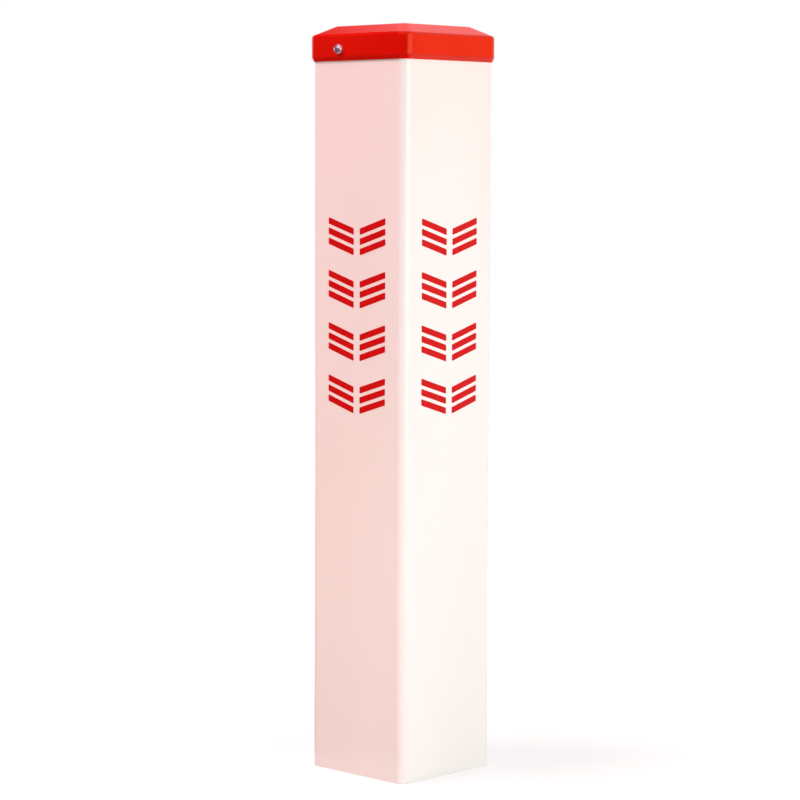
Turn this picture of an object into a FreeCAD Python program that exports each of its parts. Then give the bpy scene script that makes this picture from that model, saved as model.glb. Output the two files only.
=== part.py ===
import FreeCAD, Part
import math
import os

# Square plastic marker post: an extruded tube, open at its foot, closed at the top by a
# moulded cap that slips over it and is held by two self-tapping screws.
# Millimetres, +Z up, the axis of the post on Z and its foot on z = 0.
# The four faces look along -Y, +X, +Y and -X.

# Whole post
POST_HEIGHT = 600.0  # foot to the flat on top of the cap

# Tube
TUBE_WIDTH = 104.0  # across the outside of two opposite faces
TUBE_WALL = 3.5
TUBE_CORNER = 7.0  # outer radius of the four long edges
SAWN_EDGE = 0.3  # burr taken off both sawn ends

# Cap
CAP_WALL = 2.2  # one thickness all over, as moulded
CAP_PLAY = 0.3  # between tube and skirt, on each side
SKIRT_HEIGHT = 20.5  # lower rim to shoulder
ROOF_RISE = 7.9  # shoulder to the flat on top
ROOF_BORDER = 15.6  # level width of the sloped border round the flat
FLAT_CORNER = 5.0  # corner radius of the flat on top
SHOULDER_FILLET = 2.8
CREST_FILLET = 4.0
RIM_TAPER = 3.4  # height over which the skirt draws in to a thin rim
RIM_INSET = 1.5  # how far it draws in
RIM_FILLET = 4.0  # where that taper starts

# Ribs under the roof, on which the end of the tube stops
RIB_THICKNESS = 1.8
RIB_SPACING = 50.0  # between the two ribs of one side
RIB_TOE = 1.0  # what a rib shows past the tube's inner face
RIB_RUN = 8.0  # how much further in it reaches where it meets the roof
STOP_DROP = 4.3  # shoulder down to the end of the tube

# Self-tapping screws with a pan head and a cross recess
SCREW_THREAD = 4.2  # over the crests of the thread
SCREW_SHANK = 3.6  # plain stand-in between crest and root
SCREW_LENGTH = 16.0  # underside of the head to the point
SCREW_POINT = 4.0  # length of the cone at the end
HEAD_WIDTH = 8.0
HEAD_HEIGHT = 4.2
HEAD_EDGE = 0.3  # straight edge below the dome
RECESS_WIDTH = 4.4  # across two wings of the cross, at the top of the head
RECESS_SLOT = 1.1  # thickness of a wing there
RECESS_DEPTH = 2.6
RECESS_TAPER = 0.35  # share of width and slot that is left at the recess's floor
SCREW_OFFSET = 18.0  # from the middle of the face, to the left as one looks at it
SCREW_DROP = 11.2  # shoulder down to the axis of the screws
BITE_PLAY = 0.05  # round the shank in the tube's wall
CAP_HOLE_PLAY = 0.3  # round the thread in the cap's skirt

OVERSHOOT = 1.0  # how far cutting tools run past what they cut

# Places that follow from the sizes
tube_half = TUBE_WIDTH / 2
cavity_half = tube_half + CAP_PLAY
cap_half = cavity_half + CAP_WALL
tube_inner_corner = max(TUBE_CORNER - TUBE_WALL, 0.0)
cavity_corner = TUBE_CORNER + CAP_PLAY
cap_corner = cavity_corner + CAP_WALL
shoulder_z = POST_HEIGHT - ROOF_RISE
rim_z = shoulder_z - SKIRT_HEIGHT
stop_z = shoulder_z - STOP_DROP
screw_z = shoulder_z - SCREW_DROP
roof_angle = math.atan2(ROOF_RISE, ROOF_BORDER)
flat_half = cap_half - ROOF_BORDER

UP = FreeCAD.Vector(0, 0, 1)
CENTRE = FreeCAD.Vector(0, 0, 0)


def rounded_square(half, radius, z):
    """Closed wire of a square with rounded corners, level at height z."""
    if radius <= 0:
        corners = [(half, -half), (half, half), (-half, half), (-half, -half), (half, -half)]
        return Part.makePolygon([FreeCAD.Vector(x, y, z) for x, y in corners])
    straight = half - radius
    edges = []
    for turn in range(4):
        side = Part.makeLine((half, -straight, z), (half, straight, z))
        corner = Part.makeCircle(radius, FreeCAD.Vector(straight, straight, z), UP, 0, 90)
        for edge in (side, corner):
            edge.rotate(CENTRE, UP, 90 * turn)
            edges.append(edge)
    return Part.Wire(Part.__sortEdges__(edges))


def prism(half, radius, low, high):
    """Upright solid with a rounded square section."""
    return Part.Face(rounded_square(half, radius, low)).extrude(UP * (high - low))


def outer_edges(shape, z, half):
    """Edges that lie level at height z and within the outline of the given half width."""
    found = []
    for edge in shape.Edges:
        box = edge.BoundBox
        level = abs(box.ZMin - z) < 1e-4 and abs(box.ZMax - z) < 1e-4
        reach = max(abs(box.XMin), abs(box.XMax), abs(box.YMin), abs(box.YMax))
        if level and abs(reach - half) < 1e-3:
            found.append(edge)
    return found


def on_each_screw(shape):
    """The shape at its place on the -Y face, and its twin half a turn round the post."""
    twin = shape.copy()
    twin.rotate(CENTRE, UP, 180)
    return [shape, twin]


def screw_drill(diameter, near, far):
    """Cutting cylinder on the axis of the -Y screw, between two distances from the post's axis."""
    start = FreeCAD.Vector(-SCREW_OFFSET, -far, screw_z)
    return Part.makeCylinder(diameter / 2, far - near, start, FreeCAD.Vector(0, 1, 0))


def roof_underside(distance):
    """Height of the sloped ceiling of the cap at a distance from the post's axis."""
    slope = (cap_half - distance) * math.tan(roof_angle)
    return shoulder_z + slope - CAP_WALL / math.cos(roof_angle)


def post_tube():
    """The extruded tube, with both sawn ends deburred and its two screw holes."""
    outside = prism(tube_half, TUBE_CORNER, 0, stop_z)
    bore_half = tube_half - TUBE_WALL
    bore = prism(bore_half, tube_inner_corner, -OVERSHOOT, stop_z + OVERSHOOT)
    tube = outside.cut(bore)
    ends = []
    for z in (0, stop_z):
        ends += outer_edges(tube, z, tube_half)
        ends += outer_edges(tube, z, bore_half)
    tube = tube.makeChamfer(min(SAWN_EDGE, TUBE_WALL / 3), ends)
    hole = screw_drill(SCREW_SHANK + 2 * BITE_PLAY, bore_half - OVERSHOOT, tube_half + OVERSHOOT)
    for drill in on_each_screw(hole):
        tube = tube.cut(drill)
    return tube


def cap_outside():
    """Tapered rim, skirt and low pyramid roof as one full body, with its moulded roundings."""
    inset = min(RIM_INSET, 0.8 * CAP_WALL)
    taper_z = rim_z + RIM_TAPER
    rim = rounded_square(cap_half - inset, cap_corner - inset, rim_z)
    taper = Part.makeLoft([rim, rounded_square(cap_half, cap_corner, taper_z)], True, True)
    skirt = prism(cap_half, cap_corner, taper_z, shoulder_z)
    eaves = rounded_square(cap_half, cap_corner, shoulder_z)
    crest = rounded_square(flat_half, FLAT_CORNER, POST_HEIGHT)
    roof = Part.makeLoft([eaves, crest], True, True)
    body = skirt.fuse([taper, roof]).removeSplitter()
    body = body.makeFillet(SHOULDER_FILLET, outer_edges(body, shoulder_z, cap_half))
    body = body.makeFillet(CREST_FILLET, outer_edges(body, POST_HEIGHT, flat_half))
    return body.makeFillet(RIM_FILLET, outer_edges(body, taper_z, cap_half))


def cap_cavity():
    """Space inside the cap, one wall thickness below its roof."""
    ceiling_z = POST_HEIGHT - CAP_WALL
    eaves_z = roof_underside(cavity_half)
    ceiling_half = cavity_half - (ceiling_z - eaves_z) / math.tan(roof_angle)
    ceiling_corner = max(FLAT_CORNER - (flat_half - ceiling_half), 0.5)
    skirt = prism(cavity_half, cavity_corner, rim_z - OVERSHOOT, eaves_z)
    eaves = rounded_square(cavity_half, cavity_corner, eaves_z)
    ceiling = rounded_square(ceiling_half, ceiling_corner, ceiling_z)
    roof = Part.makeLoft([eaves, ceiling], True, True)
    return skirt.fuse(roof).removeSplitter()


def stop_rib():
    """One rib under the roof of the -Y side, in the plane x = 0, rooted in skirt and roof."""
    root = CAP_WALL / 2
    wall = cavity_half + root
    toe = tube_half - TUBE_WALL - RIB_TOE
    tip = toe - RIB_RUN
    profile = [(wall, stop_z), (toe, stop_z), (tip, roof_underside(tip) + root),
               (wall, roof_underside(wall) + root), (wall, stop_z)]
    outline = Part.makePolygon([FreeCAD.Vector(-RIB_THICKNESS / 2, -y, z) for y, z in profile])
    return Part.Face(outline).extrude(FreeCAD.Vector(RIB_THICKNESS, 0, 0))


def end_cap():
    """The moulded cap: shell, eight stop ribs and the clearance holes of the two screws."""
    cap = cap_outside().cut(cap_cavity())
    ribs = []
    for turn in range(4):
        for side in (-1, 1):
            rib = stop_rib()
            rib.translate(FreeCAD.Vector(side * RIB_SPACING / 2, 0, 0))
            rib.rotate(CENTRE, UP, 90 * turn)
            ribs.append(rib)
    cap = cap.fuse(ribs).removeSplitter()
    hole = screw_drill(SCREW_THREAD + 2 * CAP_HOLE_PLAY, cavity_half - OVERSHOOT, cap_half + OVERSHOOT)
    for drill in on_each_screw(hole):
        cap = cap.cut(drill)
    return cap


def cross_recess():
    """Tapered cross that the driver goes into, cut down from the top of the head."""
    floor_z = HEAD_HEIGHT - RECESS_DEPTH
    wings = []
    for turn in range(2):
        sections = []
        for z, share in ((HEAD_HEIGHT, 1.0), (floor_z, RECESS_TAPER)):
            x = RECESS_WIDTH / 2 * share
            y = RECESS_SLOT / 2 * (0.5 + 0.5 * share)
            corners = [(x, y, z), (-x, y, z), (-x, -y, z), (x, -y, z), (x, y, z)]
            sections.append(Part.makePolygon([FreeCAD.Vector(*corner) for corner in corners]))
        wing = Part.makeLoft(sections, True, True)
        wing.rotate(CENTRE, UP, 90 * turn)
        wings.append(wing)
    hub = Part.makeCone(RECESS_SLOT * RECESS_TAPER, RECESS_SLOT, RECESS_DEPTH, FreeCAD.Vector(0, 0, floor_z))
    return wings[0].fuse([wings[1], hub])


def screw():
    """One screw on the Z axis: the underside of its head on z = 0, its point downwards."""
    head = HEAD_WIDTH / 2
    shank = SCREW_SHANK / 2
    crown = HEAD_HEIGHT - HEAD_EDGE
    dome_radius = (head ** 2 + crown ** 2) / (2 * crown)
    middle = math.atan2(head, dome_radius - crown) / 2
    dome_middle = FreeCAD.Vector(dome_radius * math.sin(middle), 0,
                                 HEAD_HEIGHT - dome_radius * (1 - math.cos(middle)))
    top = FreeCAD.Vector(0, 0, HEAD_HEIGHT)
    brim = FreeCAD.Vector(head, 0, HEAD_EDGE)
    dome = Part.Arc(brim, dome_middle, top).toShape()
    below = [(0, 0, HEAD_HEIGHT), (0, 0, -SCREW_LENGTH), (shank, 0, SCREW_POINT - SCREW_LENGTH),
             (shank, 0, 0), (head, 0, 0), (head, 0, HEAD_EDGE)]
    rest = Part.makePolygon([FreeCAD.Vector(*point) for point in below])
    profile = Part.Face(Part.Wire(rest.Edges + [dome]))
    return profile.revolve(CENTRE, UP, 360).cut(cross_recess())


def cap_screws():
    """The two screws in their holes, heads flat on the skirt."""
    placed = screw()
    placed.rotate(CENTRE, FreeCAD.Vector(1, 0, 0), 90)
    placed.translate(FreeCAD.Vector(-SCREW_OFFSET, -cap_half, screw_z))
    return Part.makeCompound(on_each_screw(placed))


NODES = {"post_tube": post_tube, "end_cap": end_cap, "cap_screws": cap_screws}

os.makedirs("parts", exist_ok=True)
for name, make in NODES.items():
    shape = make()
    shape.exportStep("parts/" + name + ".step")
    print(name, "solids", len(shape.Solids), "valid", shape.isValid(), "volume", round(shape.Volume, 1))
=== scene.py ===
import math

import bmesh
import bpy
from mathutils import Matrix, Vector


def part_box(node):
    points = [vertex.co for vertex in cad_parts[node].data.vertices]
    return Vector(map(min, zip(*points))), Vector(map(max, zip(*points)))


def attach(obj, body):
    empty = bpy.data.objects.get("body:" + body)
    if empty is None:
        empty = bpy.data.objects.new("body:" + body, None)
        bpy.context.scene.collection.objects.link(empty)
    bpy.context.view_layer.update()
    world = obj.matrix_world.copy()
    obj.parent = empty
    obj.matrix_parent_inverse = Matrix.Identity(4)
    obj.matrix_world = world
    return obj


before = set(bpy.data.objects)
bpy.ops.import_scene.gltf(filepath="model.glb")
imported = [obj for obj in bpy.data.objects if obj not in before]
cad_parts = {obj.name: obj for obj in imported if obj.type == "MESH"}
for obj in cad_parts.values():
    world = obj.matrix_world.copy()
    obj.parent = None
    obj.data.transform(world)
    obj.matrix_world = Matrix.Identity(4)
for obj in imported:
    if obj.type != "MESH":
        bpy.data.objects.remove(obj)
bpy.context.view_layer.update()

# Square marker post of white extruded plastic with a red moulded cap, two plated screws
# and red marks printed on its faces. Metres, +Z up, foot on z = 0.
# Azimuths are counted in degrees from the -Y direction towards +X.

TUBE_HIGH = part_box("post_tube")[1]
CAP_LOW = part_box("end_cap")[0]
SCREW_LOW, SCREW_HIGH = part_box("cap_screws")
FACE = TUBE_HIGH.x  # distance of the tube's faces from the axis
HEAD_RADIUS = (SCREW_HIGH.z - SCREW_LOW.z) / 2

# Printed marks: on each face two columns of slanted bars, which fall towards the middle
MARK_COLUMNS = 2
MARK_ROWS = 4
MARK_WIDTH = 0.0284
MARK_PITCH_ACROSS = 0.0351
MARK_PITCH_DOWN = 0.0420
MARKS_MIDDLE = 0.370  # height of the middle of the print
BARS_PER_MARK = 3
BAR_HEIGHT = 0.0052
BAR_PITCH = 0.0081
BAR_FALL = 0.0086  # drop of a bar over its width
BAR_CORNER = 0.0007
BAR_CORNER_STEPS = 4
INK_THICKNESS = 0.00012
INK_ROOT = 0.00005  # how deep the ink's edge reaches into the plastic
INK_EDGE = 0.00006  # how far its top is drawn in

# Thread of the self-tapping screws
SCREW_LENGTH = 0.016
SCREW_POINT = 0.004
THREAD_CREST = 0.0021
THREAD_ROOT = 0.00175
THREAD_PITCH = 0.0014
THREAD_FLANK = 0.3  # half the width of the ridge at its root, in pitches
THREAD_START = 0.0008  # below the head
THREAD_END = 0.0002  # short of the point
THREAD_STEPS = 28  # along each turn
THREAD_RUN_IN = 14  # steps over which the ridge rises to its full height
THREAD_AT_POINT = 0.25  # share of its height that the ridge keeps down to the point

# Finishes: the factors of a noise between which colour and roughness go from end to end
NOISE_ENDS = (0.3, 0.7)

# Camera, as fitted to the outlines of the post
CAMERA_AZIMUTH = 44.1
CAMERA_DISTANCE = 2.148  # level, from the post's axis
CAMERA_HEIGHT = 0.4836
CAMERA_PITCH = 4.887  # downwards
CAMERA_ROLL = 0.193
CAMERA_LENS = 119.7
CAMERA_SHIFT_X = -0.0024

# Floor: a glow that is full white from the reach on and lower inside the core, and a faint
# diffuse part on top of it, which takes the shadow
FLOOR_HALF = 4.0
FLOOR_BOUNCE = 0.45  # reflectance for the light that it throws back on the post
FLOOR_FAINT = 0.32
GLOW_CORE_LEVEL = 0.7
GLOW_CORE = 0.15
GLOW_REACH = 0.6

# Lamps: rectangular panels round the post, and the level of the world's own light
WORLD_LIGHT = (0.50, 0.47, 0.46, 1)
LAMPS = (
    {"name": "front_light", "azimuth": 8, "distance": 0.4, "height": 0.11,
     "wide": 0.28, "tall": 0.20, "colour": (1, 0.854, 0.564), "watts": 0.21},
    {"name": "right_light", "azimuth": 85, "distance": 1.49, "height": 0.225,
     "wide": 1.07, "tall": 0.41, "colour": (0.973, 0.996, 1), "watts": 14.2},
    {"name": "top_light", "azimuth": -34, "distance": 1.2, "height": 2.0,
     "wide": 1.0, "tall": 1.0, "colour": (1, 0.531, 0.566), "watts": 40.8},
    {"name": "back_light", "azimuth": -155, "distance": 2.2, "height": 0.5,
     "wide": 1.2, "tall": 1.2, "colour": (1, 0.98, 0.96), "watts": 20},
)

# What the gloss of the object shows beside the white room: strips round the post, between
# two azimuths, from a lower ring to a higher one. A ring is its radius and its height.
# Levels are those of light, where 1 is white.
DARK = (0.05, 0.02, 0.02, 1)
BRIGHT = (3.5, 3.5, 3.4, 1)
WARM = (3.0, 0.85, 0.35, 1)
ROSY = (1.6, 0.76, 0.77, 1)
SCREEN_STEPS = 24
FAR = 1.6  # radius at which the strips stand
GROUND = 0.002  # just over the floor
SCREENS = (
    ("floor_screen", DARK, (95, -150), (0.1, GROUND), (FAR, GROUND)),
    ("front_screen", DARK, (68, -78), (FAR, GROUND), (FAR, 1.1)),
    ("high_screen", DARK, (-15, -122.7), (FAR, 1.1), (FAR, 2.2)),
    ("upper_screen", DARK, (-15, -160), (FAR, 2.2), (FAR, 3.6)),
    ("right_screen", BRIGHT, (78, 118), (FAR, 0.33), (FAR, 1.3)),
    ("side_screen", WARM, (124, 172), (FAR, 0.44), (FAR, 1.4)),
    ("slope_screen", ROSY, (-122.7, -188), (FAR, 1.1), (FAR, 2.4)),
)


def around(azimuth, distance, height=0.0):
    """Point at an azimuth and a level distance from the post's axis."""
    angle = math.radians(azimuth)
    return Vector((math.sin(angle) * distance, -math.cos(angle) * distance, height))


def grey(level):
    return (level, level, level, 1)


def add(name, data):
    """New object in the scene."""
    item = bpy.data.objects.new(name, data)
    bpy.context.scene.collection.objects.link(item)
    return item


def add_mesh(name, points, faces):
    """New object in the scene from points and faces, without a finish yet."""
    mesh = bpy.data.meshes.new(name)
    mesh.from_pydata(points, [], faces)
    return add(name, mesh)


def add_piece(name, body, material):
    """New piece of the object from a bmesh, with its finish, on the post's one body."""
    mesh = bpy.data.meshes.new(name)
    bmesh.ops.recalc_face_normals(body, faces=body.faces)
    body.to_mesh(mesh)
    body.free()
    mesh.materials.append(material)
    piece = add(name, mesh)
    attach(piece, "root")


def loft(body, rings):
    """Closed shell through rings of vertices, with a face over each end."""
    for first, second in zip(rings, rings[1:]):
        for index in range(len(first)):
            body.faces.new((first[index - 1], first[index], second[index], second[index - 1]))
    body.faces.new(rings[0])
    body.faces.new(reversed(rings[-1]))


def turn_about_axis(body, degrees):
    """Turns all of a bmesh about the post's axis."""
    turn = Matrix.Rotation(math.radians(degrees), 3, "Z")
    bmesh.ops.rotate(body, verts=body.verts, matrix=turn)


# Materials

class Nodes:
    """Node tree of a material or the world, with short ways to add and join its nodes."""

    def __init__(self, owner):
        self.owner = owner
        owner.use_nodes = True
        self.tree = owner.node_tree
        self.tree.nodes.clear()

    def add(self, kind, **settings):
        """New node; a setting is one of its properties, or else the value of an input."""
        node = self.tree.nodes.new("ShaderNode" + kind)
        for key, value in settings.items():
            if hasattr(node, key):
                setattr(node, key, value)
            else:
                node.inputs[key.replace("_", " ")].default_value = value
        return node

    def join(self, source, target):
        self.tree.links.new(source, target)

    def finish(self, shader, output="OutputMaterial"):
        """Leads the last shader to the output; the finished material or world."""
        self.join(shader.outputs[0], self.add(output).inputs["Surface"])
        return self.owner


def object_place(nodes, stretch):
    """Coordinates of the object, multiplied along X, Y and Z."""
    place = nodes.add("TexCoord")
    scaled = nodes.add("Mapping", Scale=stretch)
    nodes.join(place.outputs["Object"], scaled.inputs["Vector"])
    return scaled.outputs["Vector"]


def noise(nodes, stretch, detail=2.0, roughness=0.5):
    """Noise over the object, with about this many waves a metre along X, Y and Z."""
    node = nodes.add("TexNoise", Scale=1.0, Detail=detail, Roughness=roughness)
    nodes.join(object_place(nodes, stretch), node.inputs["Vector"])
    return node.outputs["Fac"]


def between(nodes, factor, low, high):
    """Value from low to high as a noise's factor goes over the middle of its range."""
    start, end = NOISE_ENDS
    ramp = nodes.add("MapRange", From_Min=start, From_Max=end, To_Min=low, To_Max=high)
    nodes.join(factor, ramp.inputs["Value"])
    return ramp.outputs["Result"]


def colours(nodes, factor, low, high, ends=NOISE_ENDS):
    """Colour from low to high as the factor goes from one end to the other."""
    ramp = nodes.add("ValToRGB")
    for point, position, colour in zip(ramp.color_ramp.elements, ends, (low, high)):
        point.position = position
        point.color = colour
    nodes.join(factor, ramp.inputs["Fac"])
    return ramp.outputs["Color"]


def bump(nodes, heights):
    """Chain of bumps from (height socket, depth in metres) pairs."""
    normal = None
    for height, depth in heights:
        node = nodes.add("Bump", Strength=1.0, Distance=depth)
        nodes.join(height, node.inputs["Height"])
        if normal:
            nodes.join(normal, node.inputs["Normal"])
        normal = node.outputs["Normal"]
    return normal


def surface(nodes, colour, roughness, normal=None, **settings):
    """Material of one shader, from its varying sockets and its constant settings."""
    shader = nodes.add("BsdfPrincipled", **settings)
    nodes.join(colour, shader.inputs["Base Color"])
    nodes.join(roughness, shader.inputs["Roughness"])
    if normal:
        nodes.join(normal, shader.inputs["Normal"])
    return nodes.finish(shader)


def white_pvc():
    """Extruded rigid PVC: soft gloss, a faint cloudiness, and fine lines along the draw."""
    nodes = Nodes(bpy.data.materials.new("white_pvc"))
    cloud = noise(nodes, (9, 9, 2.5), detail=1.5)
    lines = noise(nodes, (420, 420, 1.2), detail=3.0, roughness=0.6)
    waves = noise(nodes, (45, 45, 8))
    colour = colours(nodes, cloud, (0.86, 0.83, 0.795, 1), (0.89, 0.87, 0.845, 1))
    normal = bump(nodes, [(lines, 0.000012), (waves, 0.00012)])
    return surface(nodes, colour, between(nodes, cloud, 0.29, 0.34), normal)


def red_plastic():
    """Glossy moulded cap: strong signal red with a slight orange peel."""
    nodes = Nodes(bpy.data.materials.new("red_plastic"))
    cloud = noise(nodes, (30, 30, 30), detail=1.5)
    peel = noise(nodes, (700, 700, 700), detail=1.0)
    colour = colours(nodes, cloud, (0.625, 0.003, 0.0005, 1), (0.655, 0.004, 0.0005, 1))
    normal = bump(nodes, [(peel, 0.000008)])
    return surface(nodes, colour, between(nodes, cloud, 0.20, 0.26), normal,
                   Specular_IOR_Level=0.8, Specular_Tint=(1, 0.28, 0.12, 1))


def plated_steel():
    """Bright plated screw with a faint lilac cast, a little uneven and dulled."""
    nodes = Nodes(bpy.data.materials.new("plated_steel"))
    uneven = noise(nodes, (900, 900, 900))
    colour = colours(nodes, uneven, (0.58, 0.38, 0.54, 1), (0.86, 0.68, 0.84, 1))
    return surface(nodes, colour, between(nodes, uneven, 0.12, 0.18), Metallic=0.75)


def red_ink():
    """Screen-printed red, a little uneven in its layer."""
    nodes = Nodes(bpy.data.materials.new("red_print"))
    layer = noise(nodes, (260, 260, 260), detail=3.0)
    colour = colours(nodes, layer, (0.55, 0.001, 0.002, 1), (0.62, 0.003, 0.004, 1))
    normal = bump(nodes, [(layer, 0.00001)])
    return surface(nodes, colour, between(nodes, layer, 0.32, 0.42), normal,
                   Specular_IOR_Level=0.3, Specular_Tint=(1, 0.3, 0.35, 1))


def dress(node, material):
    """Gives a CAD node its finish."""
    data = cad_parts[node].data
    data.materials.clear()
    data.materials.append(material)


# Print

def rounded_outline(corners, radius, steps):
    """Outline of a convex polygon in a plane, its corners rounded by arcs."""
    outline = []
    for index, corner in enumerate(corners):
        before = (corners[index - 1] - corner).normalized()
        after = (corners[(index + 1) % len(corners)] - corner).normalized()
        half = before.angle(after) / 2
        centre = corner + (before + after).normalized() * radius / math.sin(half)
        start = corner + before * radius / math.tan(half) - centre
        end = corner + after * radius / math.tan(half) - centre
        for step in range(steps + 1):
            towards = start.lerp(end, step / steps).normalized()
            outline.append(centre + towards * radius)
    return outline


def bar_corners(column, row, bar):
    """Corners of one bar in the face's plane: across to the right, and up."""
    side = 1 if column else -1
    across = side * MARK_PITCH_ACROSS / 2
    middle = MARKS_MIDDLE + ((MARK_ROWS - 1) / 2 - row) * MARK_PITCH_DOWN
    middle += ((BARS_PER_MARK - 1) / 2 - bar) * BAR_PITCH
    lift = side * BAR_FALL / 2
    left, right = across - MARK_WIDTH / 2, across + MARK_WIDTH / 2
    low, high = middle - BAR_HEIGHT / 2, middle + BAR_HEIGHT / 2
    return [Vector((left, low - lift, 0)), Vector((right, low + lift, 0)),
            Vector((right, high + lift, 0)), Vector((left, high - lift, 0))]


def print_bar(body, corners):
    """One bar of ink on the -Y face: a thin plate with rounded corners and a drawn-in top."""
    outline = rounded_outline(corners, BAR_CORNER, BAR_CORNER_STEPS)
    middle = sum(outline, Vector()) / len(outline)
    rings = []
    for depth, inset in ((INK_ROOT, 0), (0, 0), (-INK_THICKNESS, INK_EDGE)):
        ring = []
        for point in outline:
            inwards = (middle - point).normalized() * inset
            ring.append(body.verts.new((point.x + inwards.x, -FACE + depth, point.y + inwards.y)))
        rings.append(ring)
    loft(body, rings)


def print_face(name, quarter_turns, material):
    """All the marks of one face, which lies some quarter turns on from the -Y face."""
    body = bmesh.new()
    for column in range(MARK_COLUMNS):
        for row in range(MARK_ROWS):
            for bar in range(BARS_PER_MARK):
                print_bar(body, bar_corners(column, row, bar))
    turn_about_axis(body, 90 * quarter_turns)
    add_piece(name, body, material)


# Screw threads

def thread(body, seat):
    """Helical ridge round the shank of a screw whose head is seated on the -Y side at seat."""
    length = SCREW_LENGTH - THREAD_START - THREAD_END
    steps = int(length / THREAD_PITCH * THREAD_STEPS)
    rings = []
    for step in range(steps + 1):
        down = THREAD_START + length * step / steps
        angle = 2 * math.pi * step / THREAD_STEPS
        taper = min(1.0, (SCREW_LENGTH - down) / SCREW_POINT)
        rise = min(1.0, (step + 1) / THREAD_RUN_IN)
        rise *= THREAD_AT_POINT + (1 - THREAD_AT_POINT) * taper
        root = THREAD_ROOT * taper
        crest = root + (THREAD_CREST - THREAD_ROOT) * rise
        flank = THREAD_FLANK * THREAD_PITCH * taper
        ring = []
        for radius, along in ((root, -flank), (crest, 0), (root, flank)):
            x, z = radius * math.cos(angle), radius * math.sin(angle)
            ring.append(body.verts.new(seat + Vector((x, down + along, z))))
        rings.append(ring)
    loft(body, rings)


def screw_threads(material):
    """Threads of both screws, the second half a turn round the post."""
    seat_x = SCREW_LOW.x + HEAD_RADIUS
    seat = Vector((seat_x, CAP_LOW.y, (SCREW_LOW.z + SCREW_HIGH.z) / 2))
    for name, turn in (("screw_thread_1", 0), ("screw_thread_2", 180)):
        body = bmesh.new()
        thread(body, seat)
        turn_about_axis(body, turn)
        add_piece(name, body, material)


# Studio

def camera():
    """Camera of the picture, which looks in to the post's axis, down by its pitch."""
    pitch, roll = math.radians(CAMERA_PITCH), math.radians(CAMERA_ROLL)
    away = around(CAMERA_AZIMUTH, 1)
    forward = -away * math.cos(pitch) - Vector((0, 0, math.sin(pitch)))
    right = forward.cross(Vector((0, 0, 1))).normalized()
    up = right.cross(forward)
    turned_right = right * math.cos(roll) + up * math.sin(roll)
    turned_up = up * math.cos(roll) - right * math.sin(roll)
    data = bpy.data.cameras.new("camera")
    data.lens = CAMERA_LENS
    data.shift_x = CAMERA_SHIFT_X
    item = add("camera", data)
    place = Matrix((turned_right, turned_up, -forward)).transposed().to_4x4()
    place.translation = away * CAMERA_DISTANCE + Vector((0, 0, CAMERA_HEIGHT))
    item.matrix_world = place
    bpy.context.scene.camera = item


def shown_or_light(nodes, shown, light):
    """One shader for what the camera sees, also in gloss and glass, and one for other rays."""
    path = nodes.add("LightPath")
    either = path.outputs["Is Camera Ray"]
    for name in ("Is Glossy Ray", "Is Transmission Ray"):
        larger = nodes.add("Math", operation="MAXIMUM")
        nodes.join(either, larger.inputs[0])
        nodes.join(path.outputs[name], larger.inputs[1])
        either = larger.outputs[0]
    mix = nodes.add("MixShader")
    nodes.join(either, mix.inputs["Fac"])
    nodes.join(light.outputs[0], mix.inputs[1])
    nodes.join(shown.outputs[0], mix.inputs[2])
    return mix


def white_surroundings():
    """World that is shown as white and lights the post at its own lower level."""
    world = bpy.data.worlds.new("studio")
    bpy.context.scene.world = world
    nodes = Nodes(world)
    white = nodes.add("Background", Color=grey(1))
    light = nodes.add("Background", Color=WORLD_LIGHT)
    nodes.finish(shown_or_light(nodes, white, light), "OutputWorld")


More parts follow.
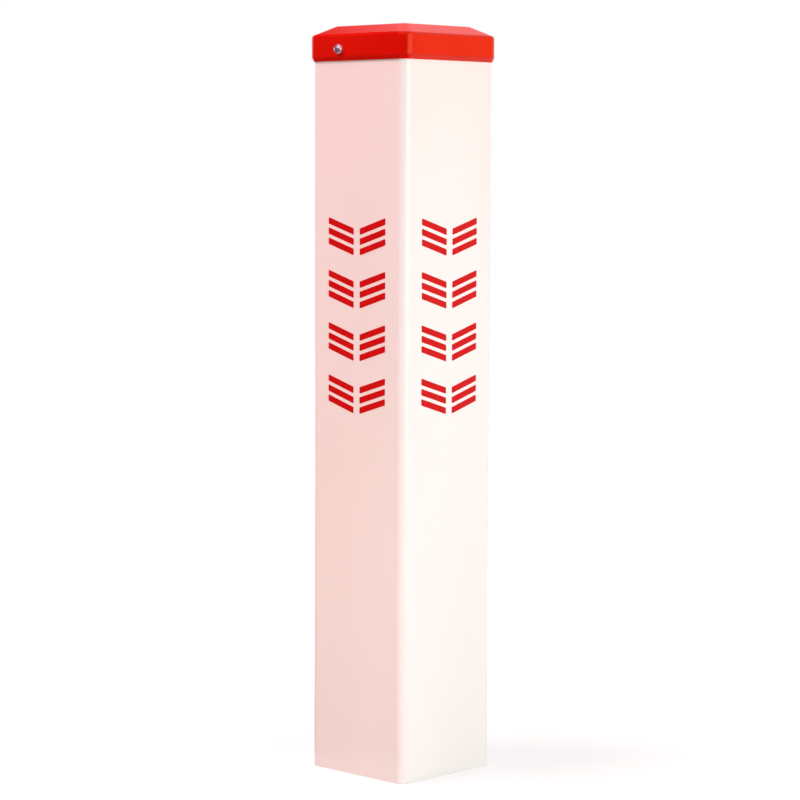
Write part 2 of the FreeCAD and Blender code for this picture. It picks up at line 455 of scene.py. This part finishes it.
def floor():
    """Plain pale floor, shown as white, which keeps the post's faint shadow round its foot."""
    half = FLOOR_HALF
    corners = [(-half, -half, 0), (half, -half, 0), (half, half, 0), (-half, half, 0)]
    item = add_mesh("floor", corners, [(0, 1, 2, 3)])
    nodes = Nodes(bpy.data.materials.new("floor"))
    nearness = nodes.add("TexGradient", gradient_type="SPHERICAL")
    place = object_place(nodes, (1 / GLOW_REACH, 1 / GLOW_REACH, 1))
    nodes.join(place, nearness.inputs["Vector"])
    level = colours(nodes, nearness.outputs["Fac"], grey(1), grey(GLOW_CORE_LEVEL),
                    ends=(0, 1 - GLOW_CORE / GLOW_REACH))
    glow = nodes.add("Emission")
    nodes.join(level, glow.inputs["Color"])
    faint = nodes.add("BsdfDiffuse", Color=grey(FLOOR_FAINT))
    shown = nodes.add("AddShader")
    nodes.join(glow.outputs[0], shown.inputs[0])
    nodes.join(faint.outputs[0], shown.inputs[1])
    bounce = nodes.add("BsdfDiffuse", Color=grey(FLOOR_BOUNCE))
    item.data.materials.append(nodes.finish(shown_or_light(nodes, shown, bounce)))


def soft_light(name, azimuth, distance, height, wide, tall, colour, watts):
    """Rectangular panel that faces the middle of the post; gloss shows the screens instead."""
    data = bpy.data.lights.new(name, "AREA")
    data.shape = "RECTANGLE"
    data.size = wide
    data.size_y = tall
    data.color = colour
    data.energy = watts
    item = add(name, data)
    item.location = around(azimuth, distance, height)
    aim = Vector((0, 0, TUBE_HIGH.z / 2)) - item.location
    item.rotation_euler = aim.to_track_quat("-Z", "Y").to_euler()
    item.visible_glossy = False


def gloss_screen(name, colour, azimuths, low, high):
    """Strip round the post from a lower ring to a higher one, which only gloss shows."""
    start, end = azimuths
    points, faces = [], []
    for step in range(SCREEN_STEPS + 1):
        azimuth = start + (end - start) * step / SCREEN_STEPS
        points += [around(azimuth, *low), around(azimuth, *high)]
        if step:
            faces.append((2 * step - 2, 2 * step, 2 * step + 1, 2 * step - 1))
    item = add_mesh(name, points, faces)
    nodes = Nodes(bpy.data.materials.new(name))
    item.data.materials.append(nodes.finish(nodes.add("Emission", Color=colour)))
    item.visible_camera = False
    item.visible_diffuse = False
    item.visible_shadow = False
    item.visible_transmission = False


steel = plated_steel()
dress("post_tube", white_pvc())
dress("end_cap", red_plastic())
dress("cap_screws", steel)
ink = red_ink()
for turn, name in enumerate(("print_front", "print_right", "print_back", "print_left")):
    print_face(name, turn, ink)
screw_threads(steel)

camera()
white_surroundings()
floor()
for lamp in LAMPS:
    soft_light(**lamp)
for screen in SCREENS:
    gloss_screen(*screen)
bpy.context.scene.view_settings.view_transform = "Standard"
